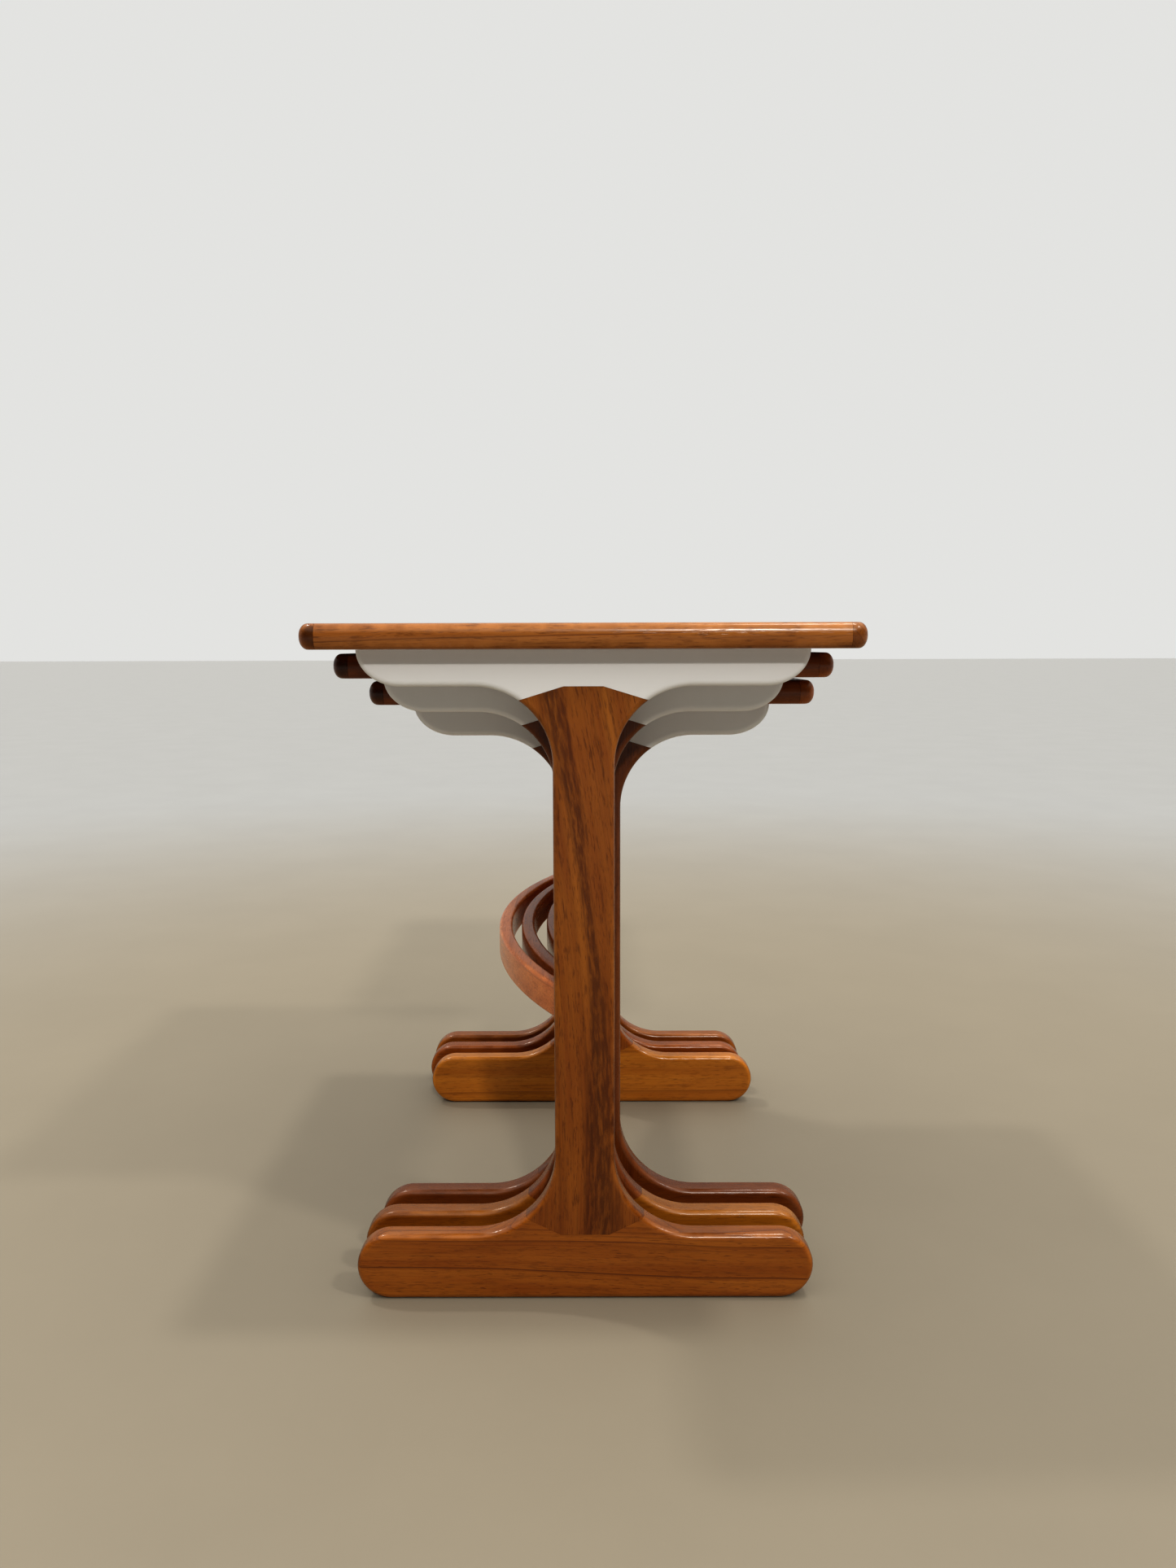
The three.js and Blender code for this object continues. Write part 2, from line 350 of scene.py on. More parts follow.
class TeakFigure(Effect):
    """Solid teak: growth rings round a pith, fibres, pores, mottle and a dark heart streak.

    The place's first axis runs along the grain. Rings are the distance from the pith over the ring
    width, bent by slow noise. Fibres and pores are noise drawn out along the grain. Painted shade
    darkens the colour steadily towards one end of the board and lightens it towards the other.
    """

    name = "teak_figure"
    takes = {
        "Place": (Kind.PLACE, (0.0, 0.0, 0.0)),
        "Pith": (Kind.PLACE, (0.0, 0.0, 0.0)),
        "Ring Width": (Kind.NUMBER, 0.006),
        "Ring Contrast": (Kind.NUMBER, 0.5),
        "Wander": (Kind.NUMBER, 0.006),
        "Sweep": (Kind.NUMBER, 0.0),
        "Sweep Middle": (Kind.NUMBER, 0.0),
        "Streak Centre": (Kind.NUMBER, 0.0),
        "Streak Width": (Kind.NUMBER, 0.008),
        "Streak Depth": (Kind.NUMBER, 0.0),
        "Streak Waist": (Kind.NUMBER, 0.0),
        "Drift": (Kind.NUMBER, 0.0),
        "Flecks": (Kind.NUMBER, 0.3),
        "Pores": (Kind.NUMBER, 0.5),
        "Pale": (Kind.COLOUR, (0.3, 0.1, 0.02, 1.0)),
        "Warm": (Kind.COLOUR, (0.2, 0.05, 0.01, 1.0)),
        "Dark": (Kind.COLOUR, (0.07, 0.02, 0.005, 1.0)),
    }
    gives = {"Colour": Kind.COLOUR, "Grain": Kind.NUMBER, "Height": Kind.NUMBER}
    # How fine each noise is along and across the grain, per metre.
    bends = (2.6, 11.0, 11.0)
    clouds = (14.0, 38.0, 38.0)
    bands = (5.0, 130.0, 130.0)
    specks = (70.0, 420.0, 420.0)
    fibres = (9.0, 520.0, 520.0)
    dashes = (110.0, 1500.0, 1500.0)
    painted_side_shade_losses = (1.0, 1.3, 1.4)  # how fast the painted side shade takes red, green and blue
    painted_side_shade_floor = 0.3  # the least that the painted side shade leaves

    def fill(self, tree: Tree, given: dict) -> dict:
        """Build the wood from its rings, fibres, pores and streak.

        Args:
            tree: The node tree to fill.
            given: The group's input sockets by name.

        Returns:
            The output sockets by name: colour, dark grain and height.
        """
        place = given["Place"]
        slow = tree.noise(tree.vector("MULTIPLY", place, self.bends))
        bend = tree.vector("SUBTRACT", slow.outputs["Color"], (0.5, 0.5, 0.5))
        scale = tree.add("VectorMath", {0: bend, "Scale": given["Wander"]}, operation="SCALE").outputs[0]
        bent = tree.vector("ADD", place, tree.vector("MULTIPLY", scale, (0.0, 2.0, 2.0)))
        parts = tree.add("SeparateXYZ", {0: bent}).outputs
        along = parts[0]
        off = tree.minus(along, given["Sweep Middle"])
        swept = tree.times(tree.times(off, off), given["Sweep"])
        side = tree.minus(parts[1], swept)
        through = parts[2]

        pith = tree.add("SeparateXYZ", {0: given["Pith"]}).outputs
        across = tree.minus(side, pith[1])
        down = tree.minus(through, pith[2])
        radius = tree.maths("SQRT", tree.plus(tree.times(across, across),
                                               tree.times(down, down)))
        count = tree.maths("DIVIDE", radius, given["Ring Width"])
        uneven = tree.line_noise(tree.times(count, 0.43), 2.0)
        count = tree.plus(count, tree.times(uneven, 1.6))
        part = tree.maths("FRACT", count)
        whole = tree.maths("FLOOR", count)
        chance = tree.add("TexWhiteNoise", {"W": whole}, noise_dimensions="1D").outputs[0]
        late = tree.maths("POWER", part, 5.0)
        soften = tree.remap(part, 0.97, 1.0, (1.0, 0.0))
        line = tree.times(tree.times(late, soften), tree.remap(chance, 0.25, 0.95))
        broad = tree.line_noise(tree.times(count, 0.31), 1.0)

        grain_place = tree.add("CombineXYZ", {0: along, 1: side, 2: through}).outputs[0]
        fibre = tree.stretched(grain_place, self.fibres, 4.0, 0.62)
        coarse = tree.stretched(grain_place, self.bands, 3.0, 0.55)
        dash = tree.stretched(grain_place, self.dashes, 1.0)
        fleck = tree.stretched(grain_place, self.specks, 3.0, 0.65)
        mottle = tree.stretched(grain_place, self.clouds, 2.0)

        wide = tree.line_noise(tree.times(along, 11.0), 2.0)
        past = tree.maths("DIVIDE", tree.minus(along, given["Streak Waist"]), 0.14)
        flare = tree.maths("MINIMUM", tree.times(past, past), 1.0)
        share = tree.times(tree.maths("MULTIPLY_ADD", flare, 0.75, 0.40),
                           tree.maths("MULTIPLY_ADD", wide, 1.2, 0.45))
        span = tree.times(given["Streak Width"], share)
        away = tree.maths("ABSOLUTE", tree.minus(side, given["Streak Centre"]))
        ragged = tree.swing(coarse, 0.020, away)
        core = tree.remap(tree.maths("DIVIDE", ragged, span), 0.45, 1.30, (1.0, 0.0))
        flecked = tree.times(core, tree.remap(fleck, 0.34, 0.60, (0.40, 1.0)))
        streak = tree.times(flecked, given["Streak Depth"])

        pale = tree.swing(broad, 1.5, 0.42)
        pale = tree.plus(pale, tree.swing(mottle, 0.9))
        pale = tree.plus(pale, tree.swing(coarse, 1.5), clamp=True)
        ground = tree.mix(pale, given["Warm"], given["Pale"])
        pore = tree.times(tree.remap(dash, 0.60, 0.74), given["Pores"])
        ring = tree.times(line, given["Ring Contrast"])
        thin = tree.times(tree.remap(fibre, 0.50, 0.74), 0.42)
        speckle = tree.times(tree.remap(fleck, 0.50, 0.70), given["Flecks"])
        dark = tree.maths("MAXIMUM", tree.plus(ring, thin), streak)
        dark = tree.maths("MAXIMUM", dark, speckle)
        dark = tree.maths("MAXIMUM", dark, pore, clamp=True)
        colour = tree.mix(dark, ground, given["Dark"])
        shine = tree.swing(fibre, 0.9, 1.0)
        grey = tree.grey(shine)
        colour = tree.mix(1.0, colour, grey, "MULTIPLY")
        # Painted shade and light: the colour darkens and reddens steadily towards one end of the board along
        # the grain, and lightens towards the other.
        side_shade_ramp = tree.times(off, given["Drift"])
        kept = [tree.maths("MULTIPLY_ADD", side_shade_ramp, -loss, 1.0) for loss in self.painted_side_shade_losses]
        gains = [tree.maths("MAXIMUM", share, self.painted_side_shade_floor) for share in kept]
        painted_side_shade = tree.add("CombineColor", dict(enumerate(gains))).outputs[0]
        colour = tree.mix(1.0, colour, painted_side_shade, "MULTIPLY")
        height = tree.minus(tree.times(fibre, 0.35), pore)
        height = tree.minus(height, tree.times(ring, 0.25))
        return {"Colour": colour, "Grain": dark, "Height": height}


class RubbedArrisAndPaintedGleam(Effect):
    """Wear and a painted highlight along edges: the crest of a rounded edge is paler in broken patches."""

    name = "rubbed_arris"
    takes = {
        "Colour": (Kind.COLOUR, (0.2, 0.05, 0.01, 1.0)),
        "Rubbed": (Kind.COLOUR, (0.4, 0.16, 0.05, 1.0)),
        "Place": (Kind.PLACE, (0.0, 0.0, 0.0)),
        "Arris": (Kind.NUMBER, 0.0),
        "Amount": (Kind.NUMBER, 0.3),
    }
    gives = {"Colour": Kind.COLOUR, "Wear And Gleam": Kind.NUMBER}

    def fill(self, tree: Tree, given: dict) -> dict:
        """The mask is the arris weight times a patchy noise, and mixes in the paler colour, partly wear and
        partly a painted highlight.

        Args:
            tree: The node tree to fill.
            given: The group's input sockets by name.

        Returns:
            The output sockets by name: colour, and the mask of wear and painted highlight.
        """
        patch = tree.stretched(given["Place"], (38.0, 38.0, 38.0), 4.0, 0.6)
        broken = tree.remap(patch, 0.38, 0.66)
        crest = tree.maths("POWER", given["Arris"], 2.0)
        # Paler crests of rounded edges: partly real wear, partly a painted highlight.
        wear_and_gleam = tree.times(tree.times(crest, broken), given["Amount"], clamp=True)
        return {"Colour": tree.mix(wear_and_gleam, given["Colour"], given["Rubbed"]), "Wear And Gleam": wear_and_gleam}


class OiledSheen(Effect):
    """How the oil lies: patches of gloss and dull, faint scratches, and the wood's own texture."""

    name = "oiled_sheen"
    takes = {
        "Place": (Kind.PLACE, (0.0, 0.0, 0.0)),
        "Roughness": (Kind.NUMBER, 0.4),
        "Spread": (Kind.NUMBER, 0.12),
        "Grain": (Kind.NUMBER, 0.0),
        "Wear And Gleam": (Kind.NUMBER, 0.0),
    }
    gives = {"Roughness": Kind.NUMBER, "Scratches": Kind.NUMBER}

    def fill(self, tree: Tree, given: dict) -> dict:
        """Roughness is its base plus patches, dark grain and wear; scratches are thin drawn-out noise.

        Args:
            tree: The node tree to fill.
            given: The group's input sockets by name.

        Returns:
            The output sockets by name: roughness and scratches.
        """
        patch = tree.stretched(given["Place"], (17.0, 17.0, 17.0), 3.0)
        patch = tree.times(tree.minus(patch, 0.5), given["Spread"])
        scored = tree.stretched(given["Place"], (25.0, 260.0, 700.0), 2.0)
        scratch = tree.remap(scored, 0.70, 0.76)
        rough = tree.plus(given["Roughness"], patch)
        rough = tree.plus(rough, tree.times(given["Grain"], 0.10))
        rough = tree.plus(rough, tree.times(given["Wear And Gleam"], 0.12))
        rough = tree.plus(rough, tree.times(scratch, 0.10), clamp=True)
        return {"Roughness": rough, "Scratches": scratch}


class SettledDust(Effect):
    """A trace of dust where a surface faces up."""

    name = "settled_dust"
    takes = {
        "Colour": (Kind.COLOUR, (0.2, 0.05, 0.01, 1.0)),
        "Place": (Kind.PLACE, (0.0, 0.0, 0.0)),
        "Facing": (Kind.PLACE, (0.0, 0.0, 1.0)),
        "Amount": (Kind.NUMBER, 0.04),
    }
    gives = {"Colour": Kind.COLOUR, "Dust": Kind.NUMBER}
    dust = (0.42, 0.36, 0.29, 1.0)

    def fill(self, tree: Tree, given: dict) -> dict:
        """Dust is the upward share of the normal times a fine patchy noise.

        Args:
            tree: The node tree to fill.
            given: The group's input sockets by name.

        Returns:
            The output sockets by name: colour and dust.
        """
        up = tree.remap(tree.add("SeparateXYZ", {0: given["Facing"]}).outputs[2], 0.55, 1.0)
        patch = tree.stretched(given["Place"], (60.0, 60.0, 60.0), 5.0, 0.7)
        laid = tree.times(up, tree.remap(patch, 0.35, 0.75))
        dust = tree.times(laid, given["Amount"])
        return {"Colour": tree.mix(dust, given["Colour"], self.dust), "Dust": dust}


# ---------------------------------------------------------------- finishes


def with_alpha(colour: Colour) -> tuple[float, float, float, float]:
    """A colour with full cover."""
    return (*colour, 1.0)


class Grain(Enum):
    """Which way the fibres run, as the order in which a place's axes are read."""

    LENGTHWISE = (0, 1, 2)
    CROSSWISE = (1, 2, 0)
    UPRIGHT = (2, 1, 0)


def open_material(name: str) -> tuple[bpy.types.Material, Tree]:
    """Make an empty material.

    Args:
        name: The material's name.

    Returns:
        The material and its tree.
    """
    material = bpy.data.materials.new(name)
    material.use_nodes = True
    material.node_tree.nodes.clear()
    return material, Tree(material.node_tree)


@dataclass(frozen=True)
class Tone:
    """The three colours of one board of teak."""

    pale: Colour = (0.310, 0.108, 0.016)
    warm: Colour = (0.210, 0.060, 0.008)
    dark: Colour = (0.070, 0.016, 0.003)

    def shifted(self, light: float, red: float = 0.0) -> "Tone":
        """The same wood, lighter or darker, and redder or more golden.

        Args:
            light: What every colour is multiplied by, above one for lighter wood.
            red: The share of green taken off, and half as much again of blue; below nought it adds.

        Returns:
            The changed tone.
        """
        gains = np.array([light, light * (1 - red), light * (1 - 1.5 * red)])
        colours = np.array([self.pale, self.warm, self.dark]) * gains
        return Tone(*(tuple(colour) for colour in colours.tolist()))


@dataclass(frozen=True)
class Teak:
    """One board of oiled teak: how it was cut from the tree, and its colours."""

    grain: Grain
    tone: Tone = Tone()
    pith: tuple[float, float] = (0.05, 0.05)
    lean: float = 0.0
    dip: float = 0.0
    ring: float = 6.0 * MM
    contrast: float = 0.55
    wander: float = 6.0 * MM
    shift: float = 0.0
    sweep: float = 0.0
    sweep_middle: float = 0.0
    streak_centre: float = 0.0
    streak_width: float = 8.0 * MM
    streak: float = 0.0
    streak_waist: float = 0.0
    # painted shade and light: how fast the colour darkens towards one end of the board
    painted_side_shade: float = 0.0
    flecks: float = 0.34
    end: float = 0.62
    pores: float = 0.60
    roughness: float = 0.20
    # how far rounded edges are painted paler: partly wear, partly painted highlight
    rub_and_gleam: float = 0.42
    dust: float = 0.05
    bump: float = 0.25

    def material(self, name: str) -> bpy.types.Material:
        """Build the board's material.

        Args:
            name: The material's name.

        Returns:
            A Principled material whose pattern runs through the solid wood.
        """
        material, tree = open_material(name)
        coordinates = tree.add("TexCoord")
        raw = tree.add("SeparateXYZ", {0: coordinates.outputs["Object"]}).outputs
        ordered = tree.add("CombineXYZ", {i: raw[axis] for i, axis in enumerate(self.grain.value)}).outputs[0]
        turn = Euler((0.0, math.radians(self.dip), math.radians(self.lean)))
        mapping = {"Vector": ordered, "Rotation": tuple(turn), "Location": (self.shift, 0.0, 0.0)}
        place = tree.add("Mapping", mapping).outputs[0]
        figure = TeakFigure.place(tree, {
            "Place": place,
            "Pith": (0.0, *self.pith),
            "Ring Width": self.ring,
            "Ring Contrast": self.contrast,
            "Wander": self.wander,
            "Sweep": self.sweep,
            "Sweep Middle": self.sweep_middle + self.shift,
            "Streak Centre": self.streak_centre,
            "Streak Width": self.streak_width,
            "Streak Depth": self.streak,
            "Streak Waist": self.streak_waist + self.shift,
            "Drift": self.painted_side_shade,
            "Flecks": self.flecks,
            "Pores": self.pores,
            "Pale": with_alpha(self.tone.pale),
            "Warm": with_alpha(self.tone.warm),
            "Dark": with_alpha(self.tone.dark),
        })
        facing = tree.add("SeparateXYZ", {0: coordinates.outputs["Normal"]}).outputs[self.grain.value[0]]
        sawn = tree.remap(tree.maths("ABSOLUTE", facing), 0.55, 0.97, (0.0, self.end))
        colour = tree.mix(sawn, figure.outputs["Colour"], with_alpha(self.end_colour()))
        arris = tree.add("Attribute", attribute_name="arris").outputs["Fac"]
        # Rounded edges painted paler: partly rubbed wear, partly a painted highlight.
        rubbed_and_gleaming = RubbedArrisAndPaintedGleam.place(tree, {
            "Colour": colour,
            "Rubbed": with_alpha(tuple(min(1.0, 1.45 * v + 0.01) for v in self.tone.pale)),
            "Place": coordinates.outputs["Object"],
            "Arris": arris,
            "Amount": self.rub_and_gleam,
        })
        dusty = SettledDust.place(tree, {
            "Colour": rubbed_and_gleaming.outputs["Colour"],
            "Place": coordinates.outputs["Object"],
            "Facing": coordinates.outputs["Normal"],
            "Amount": self.dust,
        })
        sheen = OiledSheen.place(tree, {
            "Place": place,
            "Roughness": self.roughness,
            "Grain": figure.outputs["Grain"],
            "Wear And Gleam": rubbed_and_gleaming.outputs["Wear And Gleam"],
        })
        relief = tree.minus(figure.outputs["Height"], tree.times(sheen.outputs[1], 0.4))
        bump = tree.add("Bump", {"Height": relief, "Strength": self.bump, "Distance": 0.25 * MM})
        surface = tree.add("BsdfPrincipled", {
            "Base Color": dusty.outputs["Colour"],
            "Roughness": sheen.outputs["Roughness"],
            "Normal": bump.outputs[0],
            "Specular IOR Level": 0.40,
        })
        tree.add("OutputMaterial", {"Surface": surface.outputs[0]})
        return material

    def end_colour(self) -> Colour:
        """End grain drinks more oil: the dark colour, greyed a little."""
        red, green, blue = self.tone.dark
        return (red * 0.62, green * 0.85, blue * 1.6)


@dataclass(frozen=True)
class Beech:
    """Pale beech tenons: short flecks on straight grain."""

    pale: Colour = (0.62, 0.42, 0.24)
    deep: Colour = (0.46, 0.28, 0.15)

    def material(self, name: str) -> bpy.types.Material:
        """Build the material: straight grain upright, with flecks and a dry surface.

        Args:
            name: The name of the new material.

        Returns:
            The finished material.
        """
        material, tree = open_material(name)
        place = tree.add("TexCoord").outputs["Object"]
        grain = tree.stretched(place, (500.0, 500.0, 9.0), 4.0, 0.6)
        fleck = tree.stretched(place, (900.0, 900.0, 220.0), 1.0)
        colour = tree.mix(tree.remap(grain, 0.3, 0.7), with_alpha(self.deep), with_alpha(self.pale))
        colour = tree.mix(tree.remap(fleck, 0.62, 0.7), colour, with_alpha(self.deep))
        sheen = OiledSheen.place(tree, {"Place": place, "Roughness": 0.62, "Grain": fleck})
        bump = tree.add("Bump", {"Height": grain, "Strength": 0.3, "Distance": 0.2 * MM})
        surface = tree.add("BsdfPrincipled", {
            "Base Color": colour, "Roughness": sheen.outputs["Roughness"], "Normal": bump.outputs[0],
        })
        tree.add("OutputMaterial", {"Surface": surface.outputs[0]})
        return material


@dataclass(frozen=True)
class ScrewSteel:
    """Zinc-plated wood screws, a little dull and stained."""

    bright: Colour = (0.56, 0.55, 0.52)
    stained: Colour = (0.30, 0.25, 0.19)

    def material(self, name: str) -> bpy.types.Material:
        """Build the material: plated metal with stains and fine turning marks.

        Args:
            name: The name of the new material.

        Returns:
            The finished material.
        """
        material, tree = open_material(name)
        place = tree.add("TexCoord").outputs["Object"]
        stain = tree.stretched(place, (700.0, 700.0, 700.0), 4.0, 0.65)
        turned = tree.stretched(place, (200.0, 200.0, 5000.0), 1.0)
        colour = tree.mix(tree.remap(stain, 0.45, 0.7), with_alpha(self.bright), with_alpha(self.stained))
        sheen = OiledSheen.place(tree, {"Place": place, "Roughness": 0.36, "Grain": stain})
        bump = tree.add("Bump", {"Height": turned, "Strength": 0.2, "Distance": 0.05 * MM})
        surface = tree.add("BsdfPrincipled", {
            "Base Color": colour, "Roughness": sheen.outputs["Roughness"], "Normal": bump.outputs[0],
            "Metallic": 1.0,
        })
        tree.add("OutputMaterial", {"Surface": surface.outputs[0]})
        return material


# ---------------------------------------------------------------- parts of a table


def place_piece(piece: bpy.types.Object, node: str, body: str, finish: Teak) -> bpy.types.Object:
    """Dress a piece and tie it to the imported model.

    Args:
        piece: The new mesh.
        node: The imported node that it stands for.
        body: The body that it moves with.
        finish: The board's wood.

    Returns:
        The piece.
    """
    piece.data.materials.append(finish.material(piece.name))
    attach(piece, body)
    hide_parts(node)
    LOG.info("%s: %d faces, rides on %s", piece.name, len(piece.data.polygons), body)
    return piece


@dataclass(frozen=True)
class Joint:
    """The line where a post meets a foot or bearer: flat in the middle, sloping to the sides."""

    height: float
    flat: float
    slope: float

    def meets(self, centre: tuple[float, float], radius: np.ndarray) -> np.ndarray:
        """Find where the sloping line first crosses each fillet circle.

        Putting z = height + slope (y - flat) into (y - a)^2 + (z - b)^2 = radius^2 gives a quadratic in
        y, whose smaller root is the crossing on the post's side.

        Args:
            centre: The fillet's centre (a, b).
            radius: One radius per ring.

        Returns:
            The crossing's angle about the fillet's centre, per ring.
        """
        rise = self.height - self.slope * self.flat - centre[1]
        square = 1 + self.slope**2
        linear = 2 * (self.slope * rise - centre[0])
        constant = centre[0] ** 2 + rise**2 - radius**2
        across = (-linear - np.sqrt(linear**2 - 4 * square * constant)) / (2 * square)
        up = self.height + self.slope * (across - self.flat)
        return np.arctan2(up - centre[1], across - centre[0])


@dataclass(frozen=True)
class Recess:
    """The blind hole that takes a screw's head up into a bearer's underside."""

    room: float = 0.3 * MM
    head_height: float = 3 * MM
    below: float = 12 * MM
    phase: float = 0.05
    points: int = 32

    def drill(self, piece: bpy.types.Object, screw: str) -> None:
        """Cut the hole: a cylinder round the screw's axis, up to just above its head.

        Args:
            piece: The bearer.
            screw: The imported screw's node.
        """
        low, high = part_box(screw)
        middle = (low + high) / 2
        radius = np.full(2, (high.x - low.x) / 2 + self.room)
        once_round = arc((middle.x, middle.y), radius, self.phase, self.phase + 2 * math.pi, self.points + 1)
        circle = once_round[:, :-1]
        heights = np.array([low.z - self.below, low.z + self.head_height + self.room / 2])
        z = np.broadcast_to(heights[:, None], circle.shape[:2])
        rings = np.stack([circle[..., 0], circle[..., 1], z], axis=-1)
        cutter = loft("cutter", rings, np.zeros(circle.shape[:2]))
        cut = piece.modifiers.new("recess", "BOOLEAN")
        cut.operation, cut.solver, cut.object = "DIFFERENCE", "MANIFOLD", cutter
        bpy.context.view_layer.update()
        shaped = piece.evaluated_get(bpy.context.evaluated_depsgraph_get())
        mesh, whole = bpy.data.meshes.new_from_object(shaped), piece.data
        piece.modifiers.clear()
        piece.data = mesh
        mesh.name = piece.name
        bpy.data.meshes.remove(whole)
        bpy.data.meshes.remove(cutter.data)
        weld(mesh, 10 * WELD)
        mesh.set_sharp_from_angle(angle=math.radians(HARD_EDGE))


@dataclass(frozen=True)
class EndFrame:
    """One end of a table: a foot, a post and a bearer cut from 18 mm boards.

    The three pieces share one outline in Y and Z, so the quarter-round runs on across their joints.
    """

    table: str
    side: str
    top: float
    bearer_length: float
    bearer_height: float
    forward: float
    foot_length: float = 340 * MM
    foot_height: float = 50 * MM
    post_width: float = 44 * MM
    bearer_corner: float = 31 * MM
    bearer_fillet: float = 56 * MM
    foot_fillet: float = 60 * MM
    gap: float = 0.12 * MM
    end_points: int = 30
    fillet_points: int = 20
    low_fillet_points: int = 24
    shaft_points: int = 10
    corner_points: int = 22
    edge: RoundOver = RoundOver()

    @property
    def under(self) -> float:
        """Height of the bearer's underside."""
        return self.top - self.bearer_height

    @property
    def foot_joint(self) -> Joint:
        """The line between foot and post."""
        return Joint(50.5 * MM, 18 * MM, 0.5)

    @property
    def bearer_joint(self) -> Joint:
        """The line between post and bearer."""
        return Joint(self.under, 14 * MM, -0.31)

    @property
    def low_fillet(self) -> tuple[float, float]:
        """Centre of the curve between foot and post."""
        return (self.post_width / 2 + self.foot_fillet, self.foot_height + self.foot_fillet)

    @property
    def high_fillet(self) -> tuple[float, float]:
        """Centre of the curve between post and bearer."""
        return (self.post_width / 2 + self.bearer_fillet, self.under - self.bearer_fillet)

    def foot_outline(self, inset: np.ndarray) -> np.ndarray:
        """Half-round end, flat top, then the fillet up to the joint line.

        Args:
            inset: How far each ring is drawn in from the full outline, in metres.

        Returns:
            The closed outline of every ring, as (rings, points, 2).
        """
        rings, tip = len(inset), self.foot_height / 2
        joint, centre = self.foot_joint, self.low_fillet
        radius = self.foot_fillet + inset
        end = arc((self.foot_length / 2 - tip, tip), tip - inset, -math.pi / 2, math.pi / 2, self.end_points)
        curve = arc(centre, radius, -math.pi / 2, joint.meets(centre, radius), self.fillet_points)
        middle = spot(joint.flat, joint.height, rings)
        return both_sides(np.concatenate([end, curve, middle], axis=1))

    def post_outline(self, inset: np.ndarray) -> np.ndarray:
        """From the foot's joint line round the lower fillet, up the shaft and out to the bearer's.

        Args:
            inset: How far each ring is drawn in from the full outline, in metres.

        Returns:
            The closed outline of every ring, as (rings, points, 2).
        """
        rings = len(inset)
        low = Joint(self.foot_joint.height + self.gap, self.foot_joint.flat, self.foot_joint.slope)
        high = Joint(self.under - self.gap, self.bearer_joint.flat, self.bearer_joint.slope)
        low_radius, high_radius = self.foot_fillet + inset, self.bearer_fillet + inset
        start = low.meets(self.low_fillet, low_radius)
        stop = high.meets(self.high_fillet, high_radius)
        lower = arc(self.low_fillet, low_radius, start, -math.pi, self.low_fillet_points)
        heights = np.linspace(self.low_fillet[1], self.high_fillet[1], self.shaft_points)[1:-1]
        shaft = np.concatenate([spot(self.post_width / 2 - inset, h, rings) for h in heights], axis=1)
        upper = arc(self.high_fillet, high_radius, math.pi, stop, self.fillet_points)
        foot_end = spot(low.flat, low.height, rings)
        bearer_end = spot(high.flat, high.height, rings)
        return both_sides(np.concatenate([foot_end, lower, shaft, upper, bearer_end], axis=1))

    def bearer_outline(self, inset: np.ndarray) -> np.ndarray:
        """From the joint line along the underside, then a quarter-ellipse up to the flat top.

        Args:
            inset: How far each ring is drawn in from the full outline, in metres.

        Returns:
            The closed outline of every ring, as (rings, points, 2).
        """
        rings = len(inset)
        joint, centre = self.bearer_joint, self.high_fillet
        radius = self.bearer_fillet + inset
        curve = arc(centre, radius, joint.meets(centre, radius), math.pi / 2, self.fillet_points)
        turn = np.linspace(-math.pi / 2, 0.0, self.corner_points)[None, :]
        start = self.bearer_length / 2 - self.bearer_corner
        ease = 0.2 * np.maximum(inset - self.edge.radius, 0.0)[:, None]
        top = self.top - self.gap - ease
        wide = self.bearer_corner - inset[:, None]
        tall = self.bearer_height - self.gap - inset[:, None] - ease
        end = np.stack([start + wide * np.cos(turn), top + tall * np.sin(turn)], axis=-1)
        middle = spot(joint.flat, joint.height, rings)
        return both_sides(np.concatenate([middle, curve, end], axis=1))

    def build(self, part: str, finish: Teak) -> bpy.types.Object:
        """Loft one of the frame's boards through its thickness.

        Args:
            part: "foot", "post" or "bearer".
            finish: The board's wood.

        Returns:
            The finished piece.
        """
        node = f"{self.table}_{self.side}_{part}"
        low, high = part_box(node)
        depth, inset, weight = self.edge.rings(high.x - low.x)
        outlines = {"foot": self.foot_outline, "post": self.post_outline, "bearer": self.bearer_outline}
        outline = outlines[part](inset)
        x = np.broadcast_to((low.x + depth)[:, None], outline.shape[:2])
        rings = np.stack([x, outline[..., 0] - self.forward, outline[..., 1]], axis=-1)
        arris = np.broadcast_to(weight[:, None], outline.shape[:2])
        piece = loft(f"teak_{node}", rings, arris)
        if part == "bearer":
            for end in ("front", "rear"):
                Recess().drill(piece, f"{self.table}_{self.side}_{end}_screw")
        return place_piece(piece, node, f"{self.table}_table", finish)


